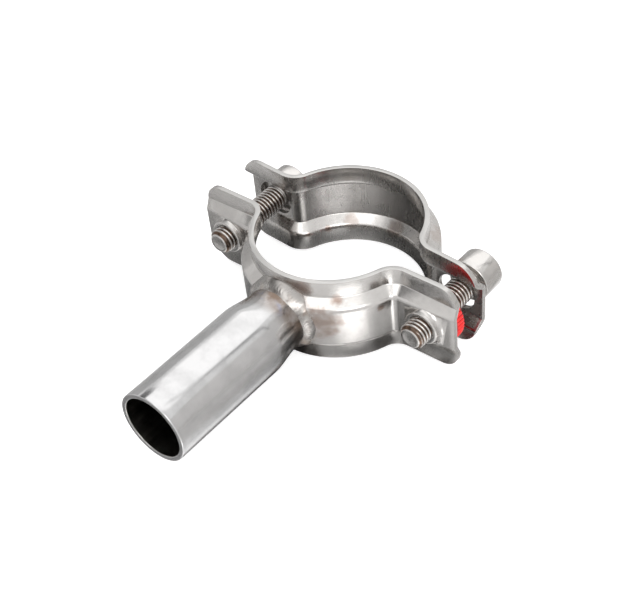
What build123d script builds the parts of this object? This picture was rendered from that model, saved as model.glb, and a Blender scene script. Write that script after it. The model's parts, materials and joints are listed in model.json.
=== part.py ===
from build123d import *
import math
import os

# Two-bolt tube clamp with a welded tube stem, in millimetres.
# Origin: centre of the pipe seat in the front half. +Z runs along the pipe, -Y towards the
# stem's open end, +X across the ears. Both halves are pressed from hat-section strap.

# Pressed strap, measured on the face that touches the pipe. A form is the depth of the
# channel and the height at which its flat band ends.
PIPE_RADIUS = 23.0
SHEET = 1.5
STRAP_WIDTH = 28.2
LIP_CREASE_Z = 8.3
CREASE_BEVEL = 0.7
RING_FORM = (3.2, 5.7)
FRONT_EAR_END_FORM = (1.4, 5.1)

# Ears
EAR_SETBACK = 3.4
EAR_BEND_RADIUS = 7.0
FRONT_EAR_END_X = 45.4
FRONT_EAR_CORNER_RADIUS = 5.5
BACK_EAR_END_X = 44.4
BACK_EAR_CORNER_RADIUS = 7.0

# Tapped collars of the front half and clearance slots of the back half
SCREW_X = 36.0
THREAD_BORE_RADIUS = 4.05
COLLAR_RADIUS = 5.3
COLLAR_FOOT_RADIUS = 6.6
COLLAR_FOOT_Y = -6.55
COLLAR_TOP_Y = -9.0
SLOT_X = 35.2
SLOT_HEIGHT = 10.0
SLOT_LENGTH = 12.6

# Socket-head screws
SHANK_RADIUS = 4.0
SCREW_LENGTH = 28.0
TIP_CHAMFER = 0.9
HEAD_RADIUS = 6.5
HEAD_HEIGHT = 8.0
HEAD_CHAMFER = 0.6
SOCKET_ACROSS_FLATS = 6.0
SOCKET_DEPTH = 4.0
LEFT_TIP_Y = -12.5
RIGHT_TIP_Y = -13.9

# Back half as it hangs askew on the screws
BACK_CENTRE = (-0.6, 5.05, -0.15)
BACK_YAW = -3.0
BACK_ROLL = 1.2

# Stem tube and its weld
STEM_RADIUS = 11.0
STEM_WALL = 1.5
STEM_END_Y = -78.0
NECK_RADIUS = 9.8
TAPER_START_Y = -39.5
TAPER_END_Y = -30.0
WELD_TOP_Y = -28.6
WELD_TOE_Y = -23.0
WELD_TOE_RADIUS = 13.0
WELD_CROWN = (11.7, -27.5)

# Knurled plastic ring on the right-hand screw
RING_RADIUS = 8.8
RING_BORE_RADIUS = 4.08
RING_THICKNESS = 3.3
RING_RIDGES = 44
RIDGE_DEPTH = 0.4
RING_EAR_GAP = 0.05


def crease_shift(form):
    """How much further from the middle a crease lies on the outer face than on the seat face."""
    depth, band = form
    drop = LIP_CREASE_Z - band
    return SHEET * (math.hypot(depth, drop) - drop) / depth


def hat_side(out, shift, form):
    """Corners of one face of the strap from lower to upper edge, as (distance out, height)."""
    depth, band = form
    edge = STRAP_WIDTH / 2
    lip = LIP_CREASE_Z + shift
    band += shift
    return [
        (out, -edge),
        (out, -lip),
        (out + depth, -band),
        (out + depth, band),
        (out, lip),
        (out, edge),
    ]


def ease_band(face, form):
    """Eases the two creases along the outer face's band."""
    crest = SHEET + form[0]
    return chamfer([v for v in face.vertices() if abs(v.X - crest) < 1e-6], CREASE_BEVEL)


def hat_section(place, form=RING_FORM, sign=1):
    """Strap section on a plane whose X points away from the pipe; place gives the seat face."""
    outline = hat_side(0, 0, form) + hat_side(SHEET, crease_shift(form), form)[::-1]
    section = ease_band(make_face(Polyline(*outline, close=True)), form)
    if sign < 0:
        section = mirror(section, Plane.YZ)
    return place * section


def radial_plane(centre, angle, radius):
    """Vertical plane through an axis at centre, moved out to radius along angle."""
    direction = Vector(math.cos(math.radians(angle)), math.sin(math.radians(angle)), 0)
    origin = Vector(*centre, 0) + direction * radius
    normal = direction.cross(Vector(0, 0, 1))
    return Plane(origin=origin, x_dir=direction, z_dir=normal)


def pressed_half(ear_end_x, corner_radius, ear_end_form):
    """Half ring with two ears, seat axis on Z, stem side towards -Y."""
    reach = PIPE_RADIUS + EAR_BEND_RADIUS
    bend_y = -(EAR_SETBACK + EAR_BEND_RADIUS)
    bend_x = math.sqrt(reach**2 - bend_y**2)
    join = math.degrees(math.asin(-bend_y / reach))

    ring_plane = radial_plane((0, 0), join - 180, PIPE_RADIUS)
    ring = revolve(hat_section(ring_plane), Axis.Z, 180 - 2 * join)

    bend_plane = radial_plane((bend_x, bend_y), 90, EAR_BEND_RADIUS)
    bend_axis = Axis((bend_x, bend_y, 0), (0, 0, 1))
    bend = revolve(hat_section(bend_plane, sign=-1), bend_axis, 90 - join)

    root = Plane((bend_x, -EAR_SETBACK, 0), x_dir=(0, -1, 0), z_dir=(1, 0, 0))
    end = root.offset(ear_end_x - bend_x)
    ear = loft([hat_section(root), hat_section(end, ear_end_form)], ruled=True)

    side = bend + ear
    half = ring + side + mirror(side, Plane.YZ)
    outline = RectangleRounded(2 * ear_end_x, STRAP_WIDTH, corner_radius)
    return half & extrude(Plane.XZ * outline, PIPE_RADIUS * 2, both=True)


def on_screw_axis(x):
    """Plane on a screw's axis whose X is the radius and whose Y points to the front."""
    return Plane((x, 0, 0), x_dir=(1, 0, 0), z_dir=(0, 0, -1))


def collar(x):
    """Collar drawn out of the ear around a tapped hole, with a flared foot."""
    points = [
        (THREAD_BORE_RADIUS, -COLLAR_FOOT_Y),
        (THREAD_BORE_RADIUS, -COLLAR_TOP_Y),
        (COLLAR_RADIUS, -COLLAR_TOP_Y),
        (COLLAR_FOOT_RADIUS, -COLLAR_FOOT_Y),
    ]
    profile = make_face(Polyline(*points, close=True))
    return revolve(on_screw_axis(x) * profile, Axis((x, 0, 0), (0, 1, 0)))


def front_half():
    """Half ring that carries the stem, with a tapped collar in each ear."""
    half = pressed_half(FRONT_EAR_END_X, FRONT_EAR_CORNER_RADIUS, FRONT_EAR_END_FORM)
    for x in (-SCREW_X, SCREW_X):
        half += collar(x)
        half -= Plane.XZ * Pos(x, 0) * Cylinder(THREAD_BORE_RADIUS, PIPE_RADIUS)
    return half


def back_half():
    """Half ring with a long slot in each ear, turned to face the front half."""
    half = pressed_half(BACK_EAR_END_X, BACK_EAR_CORNER_RADIUS, RING_FORM)
    slot = extrude(SlotOverall(SLOT_LENGTH, SLOT_HEIGHT), PIPE_RADIUS, both=True)
    for x in (-SLOT_X, SLOT_X):
        half -= Plane.XZ * Pos(x, 0) * slot
    return Pos(*BACK_CENTRE) * Rot(0, BACK_ROLL, 0) * Rot(0, 0, 180 + BACK_YAW) * half


def strap_drum():
    """Solid drum with the strap's outer form, to cope the stem and the weld."""
    edge = STRAP_WIDTH / 2
    outline = hat_side(SHEET, crease_shift(RING_FORM), RING_FORM)
    outline += [(-PIPE_RADIUS, edge), (-PIPE_RADIUS, -edge)]
    face = ease_band(make_face(Polyline(*outline, close=True)), RING_FORM)
    return revolve(radial_plane((0, 0), 0, PIPE_RADIUS) * face, Axis.Z)


def stem_tube():
    """Round tube, drawn in slightly at the neck and coped to the strap."""
    outer = [
        (STEM_RADIUS, STEM_END_Y),
        (STEM_RADIUS, TAPER_START_Y),
        (NECK_RADIUS, TAPER_END_Y),
        (NECK_RADIUS, 0),
    ]
    inner = [(radius - STEM_WALL, y) for radius, y in reversed(outer)]
    tube = revolve(make_face(Polyline(*outer, *inner, close=True)), Axis.Y)
    return tube - strap_drum()


def weld_bead():
    """Fillet weld laid all round the foot of the stem."""
    top = (NECK_RADIUS, WELD_TOP_Y)
    toe = (WELD_TOE_RADIUS, WELD_TOE_Y)
    corner = (NECK_RADIUS, WELD_TOE_Y)
    outline = Polyline(top, WELD_CROWN, toe, corner, close=True)
    return revolve(make_face(outline), Axis.Y) - strap_drum()


def screw(x, tip_y):
    """Socket-head screw, head at the back, plain shank at the thread's outer diameter."""
    under_head = tip_y + SCREW_LENGTH
    head_end = under_head + HEAD_HEIGHT
    profile = [
        (0, tip_y),
        (SHANK_RADIUS - TIP_CHAMFER, tip_y),
        (SHANK_RADIUS, tip_y + TIP_CHAMFER),
        (SHANK_RADIUS, under_head),
        (HEAD_RADIUS, under_head),
        (HEAD_RADIUS, head_end - HEAD_CHAMFER),
        (HEAD_RADIUS - HEAD_CHAMFER, head_end),
        (0, head_end),
    ]
    body = revolve(make_face(Polyline(*profile, close=True)), Axis.Y)
    socket = RegularPolygon(SOCKET_ACROSS_FLATS / 2, 6, major_radius=False)
    body -= Plane((0, head_end, 0), z_dir=(0, -1, 0)) * extrude(socket, SOCKET_DEPTH)
    return Pos(x, 0, 0) * body


def knurled_ring():
    """Plastic ring on the right-hand screw behind the front ear, ridged all round."""
    crest = Circle(RING_RADIUS - RIDGE_DEPTH)
    pitch = 2 * math.pi * RING_RADIUS / RING_RIDGES
    tooth = Rot(0, 0, 45) * Rectangle(pitch * 0.7, pitch * 0.7)
    outline = crest + PolarLocations(RING_RADIUS - RIDGE_DEPTH, RING_RIDGES) * tooth
    outline &= Circle(RING_RADIUS)
    blank = extrude(outline - Circle(RING_BORE_RADIUS), RING_THICKNESS)
    start_y = -EAR_SETBACK + RING_EAR_GAP
    place = Plane((SCREW_X, start_y, 0), x_dir=(1, 0, 0), z_dir=(0, 1, 0))
    return place * blank


PARTS = {
    "front_half": front_half,
    "back_half": back_half,
    "stem_tube": stem_tube,
    "weld_bead": weld_bead,
    "screw_left": lambda: screw(-SCREW_X, LEFT_TIP_Y),
    "screw_right": lambda: screw(SCREW_X, RIGHT_TIP_Y),
    "knurled_ring": knurled_ring,
}

os.makedirs("parts", exist_ok=True)
for name, make in PARTS.items():
    part = make()
    part.label = name
    export_step(part, f"parts/{name}.step")
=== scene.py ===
import json
import math

import bmesh
import bpy
from mathutils import Matrix, Vector

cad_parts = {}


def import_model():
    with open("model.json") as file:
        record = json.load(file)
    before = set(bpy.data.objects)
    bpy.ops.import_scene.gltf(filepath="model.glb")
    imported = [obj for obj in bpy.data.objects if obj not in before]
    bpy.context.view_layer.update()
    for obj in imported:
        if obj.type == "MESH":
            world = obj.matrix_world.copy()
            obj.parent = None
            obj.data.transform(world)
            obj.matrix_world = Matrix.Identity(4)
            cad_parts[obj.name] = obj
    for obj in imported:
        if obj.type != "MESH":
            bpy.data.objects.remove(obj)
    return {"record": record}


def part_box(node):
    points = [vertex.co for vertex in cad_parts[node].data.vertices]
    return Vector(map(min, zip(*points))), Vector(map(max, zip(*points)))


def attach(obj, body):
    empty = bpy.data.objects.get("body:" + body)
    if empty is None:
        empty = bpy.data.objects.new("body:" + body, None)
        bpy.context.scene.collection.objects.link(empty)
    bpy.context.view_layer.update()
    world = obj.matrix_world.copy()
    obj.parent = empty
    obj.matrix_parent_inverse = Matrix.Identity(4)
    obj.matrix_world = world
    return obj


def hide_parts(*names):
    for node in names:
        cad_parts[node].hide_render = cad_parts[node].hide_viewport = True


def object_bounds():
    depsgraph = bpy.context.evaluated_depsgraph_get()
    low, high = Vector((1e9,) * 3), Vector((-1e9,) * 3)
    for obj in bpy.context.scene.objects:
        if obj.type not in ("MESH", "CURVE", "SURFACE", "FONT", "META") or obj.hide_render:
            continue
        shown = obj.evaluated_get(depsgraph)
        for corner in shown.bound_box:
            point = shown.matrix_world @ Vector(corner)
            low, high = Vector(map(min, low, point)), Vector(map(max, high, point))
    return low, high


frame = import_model()
CAD_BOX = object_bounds()

# Lengths in this script are millimetres in the row's frame; MM turns them into metres.
MM = 0.001


# ---------------------------------------------------------------- sizes read from the frame

def mm_box(node):
    """Lowest and highest corners of a CAD node, in millimetres."""
    low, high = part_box(node)
    return low / MM, high / MM


def mount(name):
    """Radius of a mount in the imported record, in millimetres."""
    for entry in frame["record"]["mounts"]:
        if entry["name"] == name:
            return entry["dims"]["r_mm"]


FRONT_LOW, FRONT_HIGH = mm_box("front_half")
TUBE_END_Y = mm_box("stem_tube")[0].y
WELD_LOW, WELD_HIGH = mm_box("weld_bead")
RING_LOW, RING_HIGH = mm_box("knurled_ring")

# Pressed strap and its ears. A form is the depth of the strap's channel and the height at which
# its flat band ends.
PIPE_RADIUS = mount("pipe_seat")
STRAP_HALF_WIDTH = FRONT_HIGH.z
BAND_RADIUS = -FRONT_LOW.y
SHEET = 1.5
LIP_CREASE_Z = 8.3
INNER_CREASE_RADIUS = 0.45
SHEARED_EDGE = 0.22
RING_FORM = (BAND_RADIUS - PIPE_RADIUS - SHEET, 5.7)
EAR_BEND_RADIUS = 7.0
EAR_SETBACK = -FRONT_HIGH.y
FRONT_EAR_END_X = FRONT_HIGH.x
FRONT_EAR_END_FORM = (1.4, 5.1)
FRONT_EAR_CORNER_RADIUS = 5.5
BACK_EAR_END_X = 44.4
BACK_EAR_CORNER_RADIUS = 7.0

# Back half as it hangs askew on the screws, and its slots
BACK_CENTRE = Vector((-0.6, 5.05, -0.15))
BACK_YAW = math.radians(-3.0)
BACK_ROLL = math.radians(1.2)
SLOT_X = 35.2
SLOT_LENGTH = 12.6
SLOT_HEIGHT = 10.0

# Tapped collars
SCREW_X = (RING_LOW.x + RING_HIGH.x) / 2
BORE_RADIUS = 4.05
COLLAR_RADIUS = 5.3
COLLAR_FOOT_RADIUS = 6.6
COLLAR_FOOT_Y = -6.55
COLLAR_TOP_Y = -9.0

# Socket-head screws
SHANK_RADIUS = 4.0
THREAD_PITCH = 1.25
THREAD_DEPTH = 0.68
THREAD_ROOT = SHANK_RADIUS - THREAD_DEPTH
THREAD_RUN_OUT = 1.2
TIP_RADIUS = THREAD_ROOT - 0.45
HEAD_HEIGHT = 8.0
HEAD_CROWN = 0.75
SOCKET_ACROSS_FLATS = 6.0
SOCKET_DEPTH = 4.0
SOCKET_MOUTH_RADIUS = 3.9
SOCKET_MOUTH_DEPTH = 0.35

# Knurled ring
RING_RADIUS = (RING_HIGH.x - RING_LOW.x) / 2
RING_RIDGES = 44
RIDGE_DEPTH = 0.42
RING_BORE_RADIUS = 4.08
RING_CHAMFER = 0.35

# Stem tube and weld
TUBE_RADIUS = mount("stem_outside")
TUBE_BORE = mount("stem_bore")
TUBE_RIM = 0.28
NECK_RADIUS = 9.8
TAPER_START_Y = -39.5
TAPER_END_Y = -30.0
HEAT_START_Y = -36.0
HEAT_FULL_Y = -29.5
WELD_CROWN = 0.30
WELD_RIPPLES = 74
WELD_RIPPLE_HEIGHT = 0.11
# How far a covered end runs into the piece that covers it, so that no gap shows
BURIED = 0.5

# How far the strap's cutters reach along Y to either side of the seat's axis
CUTTER_REACH = 2 * PIPE_RADIUS

# Mesh steps
SEAT_STEPS = 28
BEND_STEPS = 16
EAR_STEPS = 10
TAPER_STEPS = 16
BORE_STEPS = 72
HEAD_STEPS = 96
TUBE_STEPS = 128
WELD_STEPS = 368
WELD_STEPS_ACROSS = 14
THREAD_STEPS = 56
THREAD_STEPS_PER_PITCH = 10
STEPS_PER_RIDGE = 8


# ---------------------------------------------------------------- mesh helpers

def new_object(name, vertices, faces):
    """Object from vertices in millimetres and faces, outward normals made consistent."""
    mesh = bpy.data.meshes.new(name)
    mesh.from_pydata([tuple(c * MM for c in v) for v in vertices], [], faces)
    bm = bmesh.new()
    bm.from_mesh(mesh)
    bmesh.ops.recalc_face_normals(bm, faces=bm.faces)
    bm.to_mesh(mesh)
    bm.free()
    obj = bpy.data.objects.new(name, mesh)
    bpy.context.scene.collection.objects.link(obj)
    return obj


def loft(name, loops, cyclic=False):
    """Skin over closed loops of equal length, with flat end caps unless the loft is cyclic."""
    count = len(loops[0])
    vertices = [v for loop in loops for v in loop]
    faces = []
    pairs = len(loops) if cyclic else len(loops) - 1
    for i in range(pairs):
        a = i * count
        b = (i + 1) % len(loops) * count
        for j in range(count):
            k = (j + 1) % count
            faces.append((a + j, a + k, b + k, b + j))
    if not cyclic:
        faces.append(tuple(range(count))[::-1])
        faces.append(tuple(range((len(loops) - 1) * count, len(loops) * count)))
    return new_object(name, vertices, faces)


def apply_modifiers(obj):
    """Replaces the object's mesh by its evaluated mesh and removes the modifiers."""
    graph = bpy.context.evaluated_depsgraph_get()
    mesh = bpy.data.meshes.new_from_object(obj.evaluated_get(graph))
    obj.modifiers.clear()
    obj.data = mesh
    return obj


def boolean(obj, tool, operation):
    """Joins, cuts or intersects obj with tool, and deletes the tool."""
    modifier = obj.modifiers.new("cut", "BOOLEAN")
    modifier.operation = operation
    modifier.solver = "EXACT"
    modifier.object = tool
    apply_modifiers(obj)
    bpy.data.objects.remove(tool)
    return obj


def soften_edges(obj, width, segments=2):
    """Merges stray points, rounds the sharp edges and shades the rest smooth."""
    bm = bmesh.new()
    bm.from_mesh(obj.data)
    bmesh.ops.remove_doubles(bm, verts=bm.verts, dist=1e-7)
    bmesh.ops.dissolve_degenerate(bm, edges=bm.edges, dist=1e-7)
    bm.to_mesh(obj.data)
    bm.free()
    modifier = obj.modifiers.new("edge", "BEVEL")
    modifier.width = width * MM
    modifier.segments = segments
    modifier.limit_method = "ANGLE"
    modifier.angle_limit = math.radians(35)
    modifier.miter_outer = "MITER_ARC"
    apply_modifiers(obj)
    return shade(obj, 40)


def shade(obj, angle):
    """Smooth shading, kept sharp at edges steeper than the angle."""
    for polygon in obj.data.polygons:
        polygon.use_smooth = True
    obj.data.set_sharp_from_angle(angle=math.radians(angle))
    return obj


def rounded_path(points, radii, steps=6):
    """Polyline with each inner corner replaced by an arc of its radius."""
    path = [Vector(points[0])]
    for before, corner, after, radius in zip(points, points[1:], points[2:], radii):
        before, corner, after = Vector(before), Vector(corner), Vector(after)
        a = (before - corner).normalized()
        b = (after - corner).normalized()
        half = a.angle(b) / 2
        centre = corner + (a + b).normalized() * radius / math.sin(half)
        start = (corner + a * radius / math.tan(half) - centre).normalized()
        end = (corner + b * radius / math.tan(half) - centre).normalized()
        for i in range(steps + 1):
            path.append(centre + start.slerp(end, i / steps) * radius)
    path.append(Vector(points[-1]))
    return path


def smooth_step(t):
    """Eased share of 0 to 1."""
    t = min(max(t, 0), 1)
    return t * t * (3 - 2 * t)


def turns(steps):
    """Angles of a full turn in equal steps."""
    return [2 * math.pi * i / steps for i in range(steps)]


def circle(steps):
    """Points of the unit circle in equal steps."""
    return [(math.cos(turn), math.sin(turn)) for turn in turns(steps)]


def revolve_y(name, profile, centre_x, steps):
    """Solid of revolution about a line along Y; profile is a closed loop of (radius, y)."""
    loops = [[(centre_x + r * c, y, r * s) for r, y in profile] for c, s in circle(steps)]
    return loft(name, loops, cyclic=True)


# ---------------------------------------------------------------- the two pressed halves

def crease_shift(form):
    """How much further from the middle a crease lies on the outer face than on the seat face."""
    depth, band = form
    drop = LIP_CREASE_Z - band
    return SHEET * (math.hypot(depth, drop) - drop) / depth


def hat_face(out, shift, form, lip_radius, band_radius):
    """One face of the strap's section, a little wider than the strap, as (distance out, height)."""
    edge = STRAP_HALF_WIDTH + 1
    lip = LIP_CREASE_Z + shift
    band = form[1] + shift
    deep = out + form[0]
    points = [(out, -edge), (out, -lip), (deep, -band), (deep, band), (out, lip), (out, edge)]
    return rounded_path(points, [lip_radius, band_radius, band_radius, lip_radius])


def hat_profile(form):
    """Closed section of the strap with creases rounded as a pressed sheet's are."""
    tight = INNER_CREASE_RADIUS
    wide = INNER_CREASE_RADIUS + SHEET
    seat = hat_face(0, 0, form, wide, tight)
    outer = hat_face(SHEET, crease_shift(form), form, tight, wide)
    return seat + outer[::-1]


def strap_stations(ear_end_x):
    """Stations along the strap: seat point, direction away from the pipe, share along the ear."""
    reach = PIPE_RADIUS + EAR_BEND_RADIUS
    bend_y = -(EAR_SETBACK + EAR_BEND_RADIUS)
    bend_x = math.sqrt(reach**2 - bend_y**2)
    join = math.asin(-bend_y / reach)
    half = []
    for i in range(SEAT_STEPS + 1):
        angle = -math.pi / 2 + (math.pi / 2 - join) * i / SEAT_STEPS
        out = Vector((math.cos(angle), math.sin(angle)))
        half.append((out * PIPE_RADIUS, out, 0))
    bend_start = math.pi - join
    for i in range(1, BEND_STEPS + 1):
        angle = bend_start + (math.pi / 2 - bend_start) * i / BEND_STEPS
        out = Vector((math.cos(angle), math.sin(angle)))
        half.append((Vector((bend_x, bend_y)) + out * EAR_BEND_RADIUS, -out, 0))
    # One step past the ear's end, for the outline to cut
    for i in range(1, EAR_STEPS + 2):
        share = i / EAR_STEPS
        seat = Vector((bend_x + (ear_end_x - bend_x) * share, -EAR_SETBACK))
        half.append((seat, Vector((0, -1)), share))
    left = [(Vector((-p.x, p.y)), Vector((-d.x, d.y)), share) for p, d, share in half[1:]]
    return left[::-1] + half


def prism_y(name, outline, y_from=-CUTTER_REACH, y_to=CUTTER_REACH):
    """Prism along Y over a closed outline of (x, z) points, as long as a cutter by default."""
    return loft(name, [[(x, y, z) for x, z in outline] for y in (y_from, y_to)])


def rounded_rectangle(centre_x, width, height, radius, steps=14):
    """Outline of (x, z) points with rounded corners."""
    outline = []
    for quarter in range(4):
        sign_x = (1, -1, -1, 1)[quarter]
        sign_z = (1, 1, -1, -1)[quarter]
        for i in range(steps + 1):
            angle = math.pi / 2 * (quarter + i / steps)
            x = centre_x + sign_x * (width / 2 - radius) + radius * math.cos(angle)
            z = sign_z * (height / 2 - radius) + radius * math.sin(angle)
            outline.append((x, z))
    return outline


def pressed_half(name, ear_end_x, corner_radius, ear_end_form):
    """Half ring with two ears, cut to its outline, seat axis on Z, stem side towards -Y."""
    ring_profile = hat_profile(RING_FORM)
    end_profile = hat_profile(ear_end_form)
    loops = []
    for seat, out, share in strap_stations(ear_end_x):
        profile = [a.lerp(b, share) for a, b in zip(ring_profile, end_profile)]
        loops.append([(seat.x + out.x * p.x, seat.y + out.y * p.x, p.y) for p in profile])
    half = loft(name, loops)
    outline = rounded_rectangle(0, 2 * ear_end_x, 2 * STRAP_HALF_WIDTH, corner_radius)
    return boolean(half, prism_y("outline", outline), "INTERSECT")


def collar(x):
    """Collar drawn out of the ear around a tapped hole, with an eased top and a flared foot."""
    # The inner wall lies inside the bore, which is cut afterwards
    inner = BORE_RADIUS - 0.6
    ease = 0.25
    flare = COLLAR_FOOT_RADIUS - COLLAR_RADIUS
    height = COLLAR_FOOT_Y - COLLAR_TOP_Y
    profile = [
        (inner, COLLAR_FOOT_Y),
        (inner, COLLAR_TOP_Y),
        (COLLAR_RADIUS - 0.5, COLLAR_TOP_Y),
        (COLLAR_RADIUS - 0.2, COLLAR_TOP_Y + 0.08),
        (COLLAR_RADIUS - 0.02, COLLAR_TOP_Y + ease),
    ]
    for i in range(1, 9):
        angle = math.pi / 2 * i / 8
        r = COLLAR_RADIUS + flare * (1 - math.cos(angle))
        profile.append((r, COLLAR_TOP_Y + ease + (height - ease) * math.sin(angle)))
    return revolve_y("collar", profile, x, BORE_STEPS)


def front_half():
    """The half that carries the stem, with a tapped collar in each ear."""
    half = pressed_half(
        "front_half_pressed", FRONT_EAR_END_X, FRONT_EAR_CORNER_RADIUS, FRONT_EAR_END_FORM
    )
    for x in (-SCREW_X, SCREW_X):
        bore = [(x + BORE_RADIUS * c, BORE_RADIUS * s) for c, s in circle(BORE_STEPS)]
        boolean(half, collar(x), "UNION")
        boolean(half, prism_y("bore", bore), "DIFFERENCE")
    return soften_edges(half, SHEARED_EDGE)


def back_half():
    """The half with a slot in each ear, hung askew on the screws."""
    half = pressed_half("back_half_pressed", BACK_EAR_END_X, BACK_EAR_CORNER_RADIUS, RING_FORM)
    for x in (-SLOT_X, SLOT_X):
        slot = rounded_rectangle(x, SLOT_LENGTH, SLOT_HEIGHT, SLOT_HEIGHT / 2 - 0.01)
        boolean(half, prism_y("slot", slot), "DIFFERENCE")
    soften_edges(half, SHEARED_EDGE)
    roll = Matrix.Rotation(BACK_ROLL, 4, "Y")
    turn = Matrix.Rotation(math.pi + BACK_YAW, 4, "Z")
    half.data.transform(Matrix.Translation(BACK_CENTRE * MM) @ roll @ turn)
    return half


# ---------------------------------------------------------------- stem and weld

def strap_surface_y(x, z):
    """Y of the front half's outer face at a point of the stem's cross-section."""
    depth, band = RING_FORM
    share = (LIP_CREASE_Z + crease_shift(RING_FORM) - abs(z)) / (LIP_CREASE_Z - band)
    radius = PIPE_RADIUS + SHEET + depth * min(max(share, 0), 1)
    return -math.sqrt(radius**2 - x**2)


def tube_radius(y):
    """Outer radius of the stem, drawn in smoothly at the neck."""
    share = smooth_step((y - TAPER_START_Y) / (TAPER_END_Y - TAPER_START_Y))
    return TUBE_RADIUS + (NECK_RADIUS - TUBE_RADIUS) * share


def rim_corner(radius, inward):
    """Quarter round from the tube's end face to one of its walls, as (radius, y)."""
    corner = []
    for k in range(5):
        angle = math.pi / 2 * k / 4
        r = radius - inward * TUBE_RIM * (1 - math.sin(angle))
        corner.append((r, TUBE_END_Y + TUBE_RIM * (1 - math.cos(angle))))
    return corner


def stem_tube():
    """Drawn tube with a rounded rim, coped to the strap at its foot."""
    wall = TUBE_RADIUS - TUBE_BORE
    bore = NECK_RADIUS - wall
    stations = [-70, -60, -50, -44, TAPER_START_Y - 1]
    taper = TAPER_END_Y - TAPER_START_Y
    stations += [TAPER_START_Y + taper * i / TAPER_STEPS for i in range(TAPER_STEPS + 1)]
    stations += [-29, -28]
    rim = rim_corner(TUBE_BORE, -1)[::-1] + rim_corner(TUBE_RADIUS, 1)
    outer = [(tube_radius(y), y) for y in stations]
    inner = [(tube_radius(y) - wall, y) for y in stations[::-1]]
    loops = []
    for c, s in circle(TUBE_STEPS):
        foot = [(r, strap_surface_y(r * c, r * s) + BURIED) for r in (NECK_RADIUS, bore)]
        loops.append([(r * c, y, r * s) for r, y in rim + outer + foot + inner])
    tube = loft("stem_tube_drawn", loops, cyclic=True)
    return shade(tube, 50)


def weld_ripple(turn, share):
    """Height of the weld's scalloped ripples at an angle round the stem and across the bead."""
    lag = 0.16 * math.sin(math.pi * share)
    phase = (turn - lag) / (2 * math.pi) * WELD_RIPPLES
    phase += 0.35 * math.sin(3 * turn + 1.0) + 0.25 * math.sin(7 * turn)
    scallop = 1 - abs(math.sin(math.pi * phase)) ** 0.7
    swell = 0.6 + 0.4 * math.sin(5 * turn + 0.4) * math.sin(2 * turn)
    return WELD_RIPPLE_HEIGHT * scallop * swell * math.sin(math.pi * share)


def weld_bead():
    """Crowned, rippled bead round the stem's foot, with slightly wandering edges."""
    buried_radius = NECK_RADIUS - 0.6
    loops = []
    for turn in turns(WELD_STEPS):
        c, s = math.cos(turn), math.sin(turn)
        wobble = 0.22 * math.sin(4 * turn + 0.7) + 0.14 * math.sin(9 * turn + 2)
        top = Vector((NECK_RADIUS - 0.02, WELD_LOW.y + 0.7 + 0.5 * wobble))
        toe_radius = WELD_HIGH.x - 0.75 + 0.6 * wobble
        toe = Vector((toe_radius, strap_surface_y(toe_radius * c, toe_radius * s) + 0.05))
        root = Vector((NECK_RADIUS, strap_surface_y(NECK_RADIUS * c, NECK_RADIUS * s)))
        bulge = ((top + toe) / 2 - root).normalized() * WELD_CROWN
        loop = []
        for k in range(WELD_STEPS_ACROSS + 1):
            share = k / WELD_STEPS_ACROSS
            point = top.lerp(toe, share) + bulge * 4 * share * (1 - share)
            point += bulge.normalized() * weld_ripple(turn, share)
            loop.append(point)
        loop.append(Vector((toe_radius - 0.2, toe.y + BURIED)))
        loop.append(Vector((buried_radius, root.y + BURIED)))
        loop.append(Vector((buried_radius, top.y + 0.4)))
        loops.append([(p.x * c, p.y, p.x * s) for p in loop])
    bead = loft("weld_bead_laid", loops, cyclic=True)
    return shade(bead, 50)


# ---------------------------------------------------------------- screws and ring

def thread_height(phase):
    """Height of a rolled 60 degree thread over one pitch, 0 at the root and 1 at the crest."""
    root_flat = 0.12
    flank = 0.72
    phase = phase % 1
    climb = min(phase, 1 - phase) * 2
    return smooth_step((climb - root_flat) / flank)


def threaded_shank(name, x, tip_y, under_head_y):
    """Shank with a helical right-hand thread and a dished, chamfered tip, buried in the head."""
    crest = SHANK_RADIUS - 0.02
    start = tip_y + 0.15
    length = under_head_y + 0.4 - start
    rows = int(length / THREAD_PITCH * THREAD_STEPS_PER_PITCH)
    loops = []
    for share, sunk in ((0.55, 0.28), (0.75, 0.10), (1.0, 0.0)):
        r = share * TIP_RADIUS
        loops.append([(x + r * c, tip_y + sunk, r * s) for c, s in circle(THREAD_STEPS)])
    for row in range(rows + 1):
        y = start + length * row / rows
        fade = smooth_step((under_head_y - THREAD_RUN_OUT / 2 - y) / THREAD_RUN_OUT)
        chamfer = TIP_RADIUS + 0.15 + (y - start)
        loop = []
        for turn in turns(THREAD_STEPS):
            cut = (1 - thread_height(y / THREAD_PITCH + turn / (2 * math.pi))) * fade
            r = min(crest - THREAD_DEPTH * cut, chamfer)
            loop.append((x + r * math.cos(turn), y, r * math.sin(turn)))
        loops.append(loop)
    return shade(loft(name, loops), 60)


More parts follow.
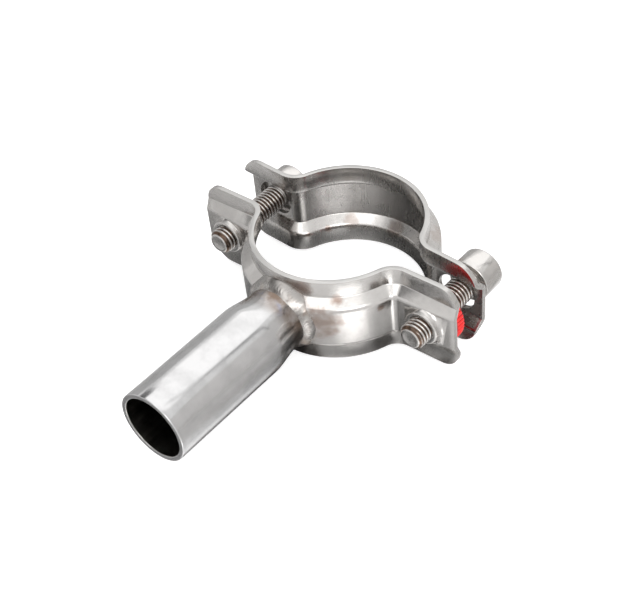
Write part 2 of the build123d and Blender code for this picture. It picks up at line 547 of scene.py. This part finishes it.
def screw_head(name, x, under_head_y, radius):
    """Cylindrical head with a rounded rim and a hexagon socket."""
    end_y = under_head_y + HEAD_HEIGHT
    seat_y = under_head_y + 0.01
    on_axis = 0.001
    profile = [
        (on_axis, seat_y),
        (radius - 0.5, seat_y),
        (radius - 0.15, under_head_y + 0.08),
        (radius, under_head_y + 0.35),
    ]
    for k in range(7):
        angle = math.pi / 2 * k / 6
        r = radius - HEAD_CROWN * (1 - math.cos(angle))
        profile.append((r, end_y - HEAD_CROWN * (1 - math.sin(angle))))
    profile.append((SOCKET_MOUTH_RADIUS, end_y))
    profile.append((SOCKET_MOUTH_RADIUS - 0.4, end_y - SOCKET_MOUTH_DEPTH))
    profile.append((on_axis, end_y - SOCKET_MOUTH_DEPTH))
    head = revolve_y(name, profile, x, HEAD_STEPS)
    bm = bmesh.new()
    bm.from_mesh(head.data)
    bmesh.ops.remove_doubles(bm, verts=bm.verts, dist=0.01 * MM)
    bm.to_mesh(head.data)
    bm.free()
    corner = SOCKET_ACROSS_FLATS / 2 / math.cos(math.pi / 6)
    hexagon = [(x + corner * c, corner * s) for c, s in circle(6)]
    boolean(head, prism_y("key", hexagon, end_y - SOCKET_DEPTH, end_y + 2), "DIFFERENCE")
    return soften_edges(head, 0.08, 1)


def join_meshes(first, second):
    """Adds the second object's mesh to the first and deletes the second."""
    bm = bmesh.new()
    bm.from_mesh(first.data)
    bm.from_mesh(second.data)
    bm.to_mesh(first.data)
    bm.free()
    bpy.data.objects.remove(second)
    return first


def screw(node):
    """Threaded shank and socket head of one screw, as a single mesh."""
    low, high = mm_box(node)
    x = (low.x + high.x) / 2
    under_head = high.y - HEAD_HEIGHT
    shank = threaded_shank(node + "_cut", x, low.y, under_head)
    head = screw_head("head", x, under_head, (high.x - low.x) / 2)
    return join_meshes(shank, head)


def knurled_ring():
    """Red plastic ring with rounded ridges all round and chamfered ends."""
    mouth = RING_BORE_RADIUS + 0.22
    loops = []
    for turn in turns(RING_RIDGES * STEPS_PER_RIDGE):
        ridge = abs(math.cos(turn * RING_RIDGES / 2))
        outer = RING_RADIUS - RIDGE_DEPTH * (1 - ridge ** 0.8)
        profile = []
        for y, inward in ((RING_LOW.y, 1), (RING_HIGH.y, -1)):
            side = [
                (RING_BORE_RADIUS, y + inward * 0.2),
                (mouth, y),
                (outer - RING_CHAMFER, y),
                (outer, y + inward * RING_CHAMFER),
            ]
            profile += side[::inward]
        loops.append([(SCREW_X + r * math.cos(turn), y, r * math.sin(turn)) for r, y in profile])
    return shade(loft("knurled_ring_moulded", loops, cyclic=True), 45)


# ---------------------------------------------------------------- materials

class Nodes:
    """Small helper that adds shader nodes and links them."""

    def __init__(self, name):
        self.material = bpy.data.materials.new(name)
        self.material.use_nodes = True
        self.tree = self.material.node_tree
        self.shader = self.tree.nodes["Principled BSDF"]
        self.coords = self.add("ShaderNodeTexCoord").outputs["Object"]

    def add(self, kind, **settings):
        """New node with the given settings."""
        node = self.tree.nodes.new(kind)
        for key, value in settings.items():
            setattr(node, key, value)
        return node

    def link(self, source, target):
        """Wires an output to an input."""
        self.tree.links.new(source, target)

    def noise(self, scale, detail=3.0, stretch=(1, 1, 1), roughness=0.55):
        """Noise in the object's own metres, drawn out along the axes that stretch makes small."""
        mapping = self.add("ShaderNodeMapping")
        mapping.inputs["Scale"].default_value = stretch
        self.link(self.coords, mapping.inputs["Vector"])
        node = self.add("ShaderNodeTexNoise")
        node.inputs["Scale"].default_value = scale
        node.inputs["Detail"].default_value = detail
        node.inputs["Roughness"].default_value = roughness
        self.link(mapping.outputs["Vector"], node.inputs["Vector"])
        return node.outputs["Fac"]

    def ramp(self, value, low, high, out_low=0.0, out_high=1.0, smooth=True):
        """Value taken from one range to another and held at its ends."""
        node = self.add("ShaderNodeMapRange")
        node.interpolation_type = "SMOOTHSTEP" if smooth else "LINEAR"
        node.inputs["From Min"].default_value = low
        node.inputs["From Max"].default_value = high
        node.inputs["To Min"].default_value = out_low
        node.inputs["To Max"].default_value = out_high
        self.link(value, node.inputs["Value"])
        return node.outputs["Result"]

    def math(self, operation, a, b):
        """Sum, product and the like of two sockets or numbers."""
        node = self.add("ShaderNodeMath", operation=operation)
        for socket, value in zip(node.inputs, (a, b)):
            if isinstance(value, (int, float)):
                socket.default_value = value
            else:
                self.link(value, socket)
        return node.outputs["Value"]

    def mix(self, factor, a, b):
        """Blend from colour a to colour b; each is a socket or a tuple."""
        # The node's colour sockets are inputs 6 and 7 and output 2
        node = self.add("ShaderNodeMix", data_type="RGBA")
        self.link(factor, node.inputs["Factor"])
        for socket, value in ((node.inputs[6], a), (node.inputs[7], b)):
            if isinstance(value, tuple):
                socket.default_value = (*value, 1.0)
            else:
                self.link(value, socket)
        return node.outputs[2]

    def axis(self, name):
        """One coordinate of the shaded point."""
        node = self.add("ShaderNodeSeparateXYZ")
        self.link(self.coords, node.inputs["Vector"])
        return node.outputs[name]

    def bump(self, height, strength, distance):
        """Normal tilted by a height in metres."""
        node = self.add("ShaderNodeBump")
        node.inputs["Strength"].default_value = strength
        node.inputs["Distance"].default_value = distance
        self.link(height, node.inputs["Height"])
        return node.outputs["Normal"]

    def off_axis(self, centre_x):
        """Distance from the line along Y at X = centre_x, taken alike on both sides of X = 0."""
        across = self.math("SUBTRACT", self.math("ABSOLUTE", self.axis("X"), 0), centre_x * MM)
        flat = self.add("ShaderNodeCombineXYZ")
        self.link(across, flat.inputs["X"])
        self.link(self.axis("Z"), flat.inputs["Z"])
        length = self.add("ShaderNodeVectorMath", operation="LENGTH")
        self.link(flat.outputs["Vector"], length.inputs[0])
        return length.outputs["Value"]

    def spot(self, centre, radius):
        """Soft round patch of 0 to 1 at a place on the object, with a ragged edge."""
        distance = self.add("ShaderNodeVectorMath", operation="DISTANCE")
        self.link(self.coords, distance.inputs[0])
        distance.inputs[1].default_value = [c * MM for c in centre]
        wobble = 0.35 * radius * MM
        ragged = self.ramp(self.noise(260, 4), 0.3, 0.7, -wobble, wobble, False)
        reach = self.math("ADD", distance.outputs["Value"], ragged)
        return self.ramp(reach, radius * MM, radius * 0.25 * MM)


STRAP_COLOUR = (0.62, 0.60, 0.58)
SHEARED_COLOUR = (0.55, 0.54, 0.525)
# Brown of the stains, also the colour of the painted shade and painted reflections on the strap
STAIN_AND_PAINTED_LIGHT = (0.30, 0.215, 0.175)
TUBE_COLOUR = (0.64, 0.635, 0.635)
HEAT_BROWN = (0.20, 0.15, 0.12)
HEAT_BLUE = (0.30, 0.32, 0.42)
BORE_SHADE = (0.34, 0.33, 0.31)
WELD_COLOUR = (0.46, 0.44, 0.42)
WELD_BROWN = (0.38, 0.26, 0.18)
SOOT = (0.12, 0.09, 0.08)
SCREW_COLOUR = (0.64, 0.62, 0.60)
THREAD_ROOT_GRIME_AND_SHADE = (0.13, 0.085, 0.06)
RED = (1.0, 0.035, 0.030)
RED_CLOUD = (0.86, 0.018, 0.018)
RED_VALLEY_SHADE = (0.34, 0.002, 0.004)

# Brown stains, painted shade and painted reflections on the pressed halves: centre, radius and
# strength.
FRONT_STAINS_AND_PAINTED_SHADE = (
    ((6.9, -23.5, 12.2), 4.5, 0.65),
    ((15.8, -19.6, 8.5), 2.6, 0.85),
    # Painted shade to the right of the weld
    ((13.0, -24.5, 2.0), 7.0, 0.75),
    ((25.1, -11.6, 4.6), 1.5, 0.80),
    ((-2.0, -26.0, 12.0), 3.0, 0.40),
)
BACK_STAINS_AND_PAINTED_REFLECTIONS = (
    # The first two specks are painted reflections of the red ring.
    ((-19.4, 18.5, -8.3), 1.6, 0.70),
    ((-22.6, 12.7, -8.2), 1.6, 0.75),
    ((-15.4, 24.4, -7.4), 3.0, 0.45),
    ((-1.6, 29.3, -7.4), 4.0, 0.50),
    ((20.0, 20.0, 4.0), 7.0, 0.35),
)


def steel_base(name, tint, roughness, grain, grain_strength):
    """Metal with a cloudy polish and a fine grain, drawn out along one direction."""
    n = Nodes(name)
    n.shader.inputs["Metallic"].default_value = 1.0
    cloud = n.noise(140, 4, roughness=0.6)
    fine = n.noise(900, 3, grain)
    n.colour = n.mix(n.ramp(cloud, 0.35, 0.7, 0.0, 0.45), tint, tuple(c * 0.70 for c in tint))
    n.rough = n.ramp(cloud, 0.3, 0.75, roughness, roughness * 1.6, False)
    n.rough = n.math("ADD", n.rough, n.ramp(fine, 0.3, 0.7, -0.03, 0.03, False))
    n.normal = n.bump(fine, grain_strength, 0.04 * MM)
    return n


def sheared_edges(n):
    """Duller, rougher cut faces along the strap's upper and lower edges."""
    facing = n.add("ShaderNodeSeparateXYZ")
    n.link(n.add("ShaderNodeTexCoord").outputs["Normal"], facing.inputs["Vector"])
    edge = n.ramp(n.math("ABSOLUTE", facing.outputs["Z"], 0), 0.93, 0.99)
    n.colour = n.mix(edge, n.colour, SHEARED_COLOUR)
    n.rough = n.math("ADD", n.rough, n.math("MULTIPLY", edge, 0.22))


def finish_material(n):
    """Links the gathered colour, roughness and normal to the shader."""
    n.link(n.colour, n.shader.inputs["Base Color"])
    n.link(n.rough, n.shader.inputs["Roughness"])
    n.link(n.normal, n.shader.inputs["Normal"])
    return n.material


def strap_steel(name, roughness, stains_and_painted_light):
    """Pressed sheet with brown stains, painted shade and painted reflections at given places, and
    duller cut edges.
    """
    n = steel_base(name, STRAP_COLOUR, roughness, (1, 1, 0.12), 0.18)
    for centre, radius, strength in stains_and_painted_light:
        # The spots are brown stains, with one painted shade on the front half and two painted
        # reflections on the back half.
        n.colour = n.mix(n.math("MULTIPLY", n.spot(centre, radius), strength), n.colour, STAIN_AND_PAINTED_LIGHT)
    sheared_edges(n)
    return finish_material(n)


def tube_steel():
    """Lengthwise brushed tube, brown and blue from the heat near the weld, with painted shade in
    the bore.
    """
    n = steel_base("brushed_tube_steel", TUBE_COLOUR, 0.13, (1, 0.02, 1), 0.30)
    near_weld = n.ramp(n.axis("Y"), HEAT_START_Y * MM, HEAT_FULL_Y * MM)
    patchy = n.ramp(n.noise(170, 4), 0.35, 0.62, 0.55, 1.0)
    n.colour = n.mix(n.math("MULTIPLY", near_weld, patchy), n.colour, HEAT_BROWN)
    blue = n.ramp(n.noise(240, 2), 0.55, 0.72, 0.0, 0.5)
    n.colour = n.mix(n.math("MULTIPLY", near_weld, blue), n.colour, HEAT_BLUE)
    # Painted shade on the wall of the bore
    inside = n.ramp(n.off_axis(0), (TUBE_BORE + 0.05) * MM, (TUBE_BORE + 0.2) * MM, 1.0, 0.0)
    n.colour = n.mix(inside, n.colour, BORE_SHADE)
    return finish_material(n)


def weld_steel():
    """Weld metal with small sooty specks and broader brown patches."""
    n = steel_base("weld_steel", WELD_COLOUR, 0.22, (1, 1, 1), 0.35)
    n.colour = n.mix(n.ramp(n.noise(420, 3), 0.48, 0.70, 0.0, 0.60), n.colour, SOOT)
    n.colour = n.mix(n.ramp(n.noise(150, 2), 0.5, 0.7, 0.0, 0.35), n.colour, WELD_BROWN)
    return finish_material(n)


def screw_steel():
    """Bright screw steel, with brown grime and painted shade in the thread's roots."""
    n = steel_base("screw_steel", SCREW_COLOUR, 0.16, (1, 1, 1), 0.10)
    radius = n.off_axis(SCREW_X)
    flank = n.ramp(radius, (THREAD_ROOT + 0.15) * MM, (SHANK_RADIUS - 0.08) * MM, 1.0, 0.0)
    outside_tip = n.ramp(radius, (THREAD_ROOT - 0.3) * MM, (THREAD_ROOT - 0.1) * MM)
    # Brown grime and painted shade in the thread roots
    n.colour = n.mix(n.math("MULTIPLY", flank, outside_tip), n.colour, THREAD_ROOT_GRIME_AND_SHADE)
    return finish_material(n)


def red_plastic():
    """Moulded red plastic, with painted shade in the valleys between the ridges."""
    n = Nodes("red_moulded_plastic")
    cloud = n.noise(300, 3)
    n.colour = n.mix(n.ramp(cloud, 0.3, 0.7), RED, RED_CLOUD)
    n.rough = n.ramp(cloud, 0.3, 0.7, 0.32, 0.45, False)
    n.normal = n.bump(n.noise(2500, 2), 0.08, 0.03 * MM)
    radius = n.off_axis(SCREW_X)
    # Painted shade in the valleys between the ridges
    valley_shade = n.ramp(radius, (RING_RADIUS - 0.35) * MM, (RING_RADIUS - 0.08) * MM, 0.75, 0.0)
    n.colour = n.mix(valley_shade, n.colour, RED_VALLEY_SHADE)
    return finish_material(n)


# ---------------------------------------------------------------- stage, lights, camera

FLOOR_GLOW = 0.60
# Brightness of the floor's mirror image at distances from the origin, in millimetres. The floor
# lies 15 mm below the origin.
CONTACT_SHADE = ((0, 0.80), (20, 0.75), (25, 0.16), (32, 0.20), (44, 0.60), (70, 0.90))
CONTACT_SHADE_REACH = 100
WORLD_LEVEL = 0.95


def stage_sheet(name, width, height, material):
    """Flat stage sheet round the origin with one material."""
    w = width / 2
    h = height / 2
    mesh = bpy.data.meshes.new(name)
    mesh.from_pydata([(-w, -h, 0), (w, -h, 0), (w, h, 0), (-w, h, 0)], [], [(0, 1, 2, 3)])
    mesh.materials.append(material)
    obj = bpy.data.objects.new(name, mesh)
    bpy.context.scene.collection.objects.link(obj)
    return obj


def matt(n, colour, roughness):
    """Sets a plain colour without any shine."""
    n.shader.inputs["Base Color"].default_value = (*colour, 1)
    n.shader.inputs["Roughness"].default_value = roughness
    n.shader.inputs["Specular IOR Level"].default_value = 0.0


def card(name, centre, size, colour):
    """Plain card turned to the part, hidden from the camera and casting no shadow."""
    n = Nodes(name)
    matt(n, colour, 0.9)
    obj = stage_sheet(name, *size, n.material)
    obj.location = centre
    obj.rotation_euler = (-Vector(centre)).to_track_quat("Z", "Y").to_euler()
    obj.visible_camera = False
    obj.visible_shadow = False


def floor_material():
    """White to the camera, with the shadow; to the steel a soft mirror, shaded near the part."""
    n = Nodes("floor")
    matt(n, (0.82, 0.82, 0.82), 0.8)
    n.shader.inputs["Emission Color"].default_value = (1, 1, 1, 1)
    path = n.add("ShaderNodeLightPath")
    glow = n.math("MULTIPLY", path.outputs["Is Camera Ray"], FLOOR_GLOW)
    n.link(glow, n.shader.inputs["Emission Strength"])

    place = n.add("ShaderNodeNewGeometry").outputs["Position"]
    from_middle = n.add("ShaderNodeVectorMath", operation="LENGTH")
    n.link(place, from_middle.inputs[0])
    reach = CONTACT_SHADE_REACH * MM
    shade_ramp = n.add("ShaderNodeValToRGB")
    n.link(n.ramp(from_middle.outputs["Value"], 0, reach, smooth=False), shade_ramp.inputs["Fac"])
    shade_ramp.color_ramp.interpolation = "B_SPLINE"
    elements = shade_ramp.color_ramp.elements
    while len(elements) < len(CONTACT_SHADE):
        elements.new(0.5)
    for element, (distance, level) in zip(elements, CONTACT_SHADE):
        element.position = distance / CONTACT_SHADE_REACH
        element.color = (level, level, level, 1)

    facing = n.add("ShaderNodeLayerWeight").outputs["Facing"]
    steep = n.ramp(facing, 0.04, 0.10, 1.0, 0.0, False)
    mirror = n.add("ShaderNodeBsdfAnisotropic")
    mirror.inputs["Roughness"].default_value = 0.25
    n.link(n.mix(steep, shade_ramp.outputs["Color"], (1, 1, 1)), mirror.inputs["Color"])
    mix = n.add("ShaderNodeMixShader")
    n.link(path.outputs["Is Glossy Ray"], mix.inputs["Fac"])
    n.link(n.shader.outputs["BSDF"], mix.inputs[1])
    n.link(mirror.outputs["BSDF"], mix.inputs[2])
    n.link(mix.outputs["Shader"], n.tree.nodes["Material Output"].inputs["Surface"])
    return n.material


def floor():
    """White floor just under the part."""
    obj = stage_sheet("floor", 8.0, 8.0, floor_material())
    obj.location.z = CAD_BOX[0][2] - 0.05 * MM


def world():
    """White to the camera, to mirrors and through glass; a plain level for everything else."""
    studio = bpy.data.worlds.new("studio")
    bpy.context.scene.world = studio
    studio.use_nodes = True
    tree = studio.node_tree
    background = tree.nodes["Background"]
    background.inputs["Color"].default_value = (1, 1, 1, 1)
    path = tree.nodes.new("ShaderNodeLightPath")
    seen = path.outputs["Is Camera Ray"]
    for ray in ("Is Glossy Ray", "Is Transmission Ray"):
        either = tree.nodes.new("ShaderNodeMath")
        either.operation = "MAXIMUM"
        tree.links.new(seen, either.inputs[0])
        tree.links.new(path.outputs[ray], either.inputs[1])
        seen = either.outputs["Value"]
    level = tree.nodes.new("ShaderNodeMapRange")
    level.inputs["To Min"].default_value = WORLD_LEVEL
    level.inputs["To Max"].default_value = 1.0
    tree.links.new(seen, level.inputs["Value"])
    tree.links.new(level.outputs["Result"], background.inputs["Strength"])


def softbox(name, location, size, power, target=(0, 0, 0), mirrored=True):
    """Rectangular lamp turned to a point; one that isn't mirrored lights only matt surfaces."""
    light = bpy.data.lights.new(name, "AREA")
    light.shape = "RECTANGLE"
    light.size, light.size_y = size
    light.energy = power
    obj = bpy.data.objects.new(name, light)
    obj.location = location
    obj.rotation_euler = (Vector(target) - Vector(location)).to_track_quat("-Z", "Y").to_euler()
    obj.visible_glossy = mirrored
    bpy.context.scene.collection.objects.link(obj)


def camera():
    """Long-lens camera above, in front and to the right of the part, slightly tilted."""
    azimuth = math.radians(43.696)
    elevation = math.radians(41.747)
    roll = math.radians(-6.903)
    aim = Vector((3.89, -13.61, 0.0)) * MM
    distance = 387.48 * MM
    back = Vector((
        math.sin(azimuth) * math.cos(elevation),
        -math.cos(azimuth) * math.cos(elevation),
        math.sin(elevation),
    ))
    level_right = Vector((0, 0, 1)).cross(back).normalized()
    level_up = back.cross(level_right)
    right = level_right * math.cos(roll) + level_up * math.sin(roll)
    up = level_up * math.cos(roll) - level_right * math.sin(roll)
    data = bpy.data.cameras.new("camera")
    data.lens = 76.896
    data.sensor_width = 36.0
    data.clip_start = 0.01
    data.clip_end = 20
    obj = bpy.data.objects.new("camera", data)
    turn = Matrix((right, up, back)).transposed()
    obj.matrix_world = Matrix.Translation(aim + back * distance) @ turn.to_4x4()
    bpy.context.scene.collection.objects.link(obj)
    bpy.context.scene.camera = obj


# ---------------------------------------------------------------- putting it together

def front_steel():
    """Steel of the front half."""
    return strap_steel("pressed_steel_front", 0.17, FRONT_STAINS_AND_PAINTED_SHADE)


def back_steel():
    """Steel of the back half, a little rougher."""
    return strap_steel("pressed_steel_back", 0.20, BACK_STAINS_AND_PAINTED_REFLECTIONS)


PIECES = (
    (front_half, "front", "front_half", "strap_steel", front_steel),
    (back_half, "back", "back_half", "strap_steel", back_steel),
    (stem_tube, "front", "stem_tube", "tube_steel", tube_steel),
    (weld_bead, "front", "weld_bead", "weld_steel", weld_steel),
    (lambda: screw("screw_left"), "left_screw", "screw_left", "screw_steel", screw_steel),
    (lambda: screw("screw_right"), "right_screw", "screw_right", "screw_steel", screw_steel),
    (knurled_ring, "ring", "knurled_ring", "red_plastic", red_plastic),
)

for make, body, node, slot, material in PIECES:
    piece = make()
    piece.data.materials.clear()
    piece.data.materials.append(material())
    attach(piece, body)
    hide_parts(node)

camera()
floor()
world()
softbox("overhead", (-0.18, 0.28, 0.76), (1.15, 0.9), 1.7)
softbox("top_front", (0.08, -0.48, 0.76), (0.4, 0.4), 0.60)
softbox("front", (0.55, -0.44, 0.57), (0.40, 0.40), 1.5)
ring_at = (SCREW_X * MM, 0, 0)
softbox("ring_fill", (0.42, -0.10, 0.16), (0.2, 0.2), 0.45, target=ring_at, mirrored=False)
card("left_flag", (-0.9, 0.45, 0.14), (1.3, 0.62), (0.60, 0.60, 0.60))
card("left_roof_flag", (-0.60, 0.03, 0.55), (0.40, 0.28), (0.10, 0.10, 0.10))
card("front_left_flag", (-0.62, -0.42, 0.72), (0.9, 0.42), (0.22, 0.22, 0.22))
card("front_left_wall", (-0.70, -0.62, 0.26), (1.0, 0.46), (0.80, 0.80, 0.80))
card("right_flag", (0.80, 0.50, 0.26), (1.2, 0.86), (0.80, 0.79, 0.78))
card("roof_gap", (0.48, 0.50, 0.74), (0.07, 0.9), (0.30, 0.30, 0.30))

bpy.context.scene.view_settings.view_transform = "Standard"
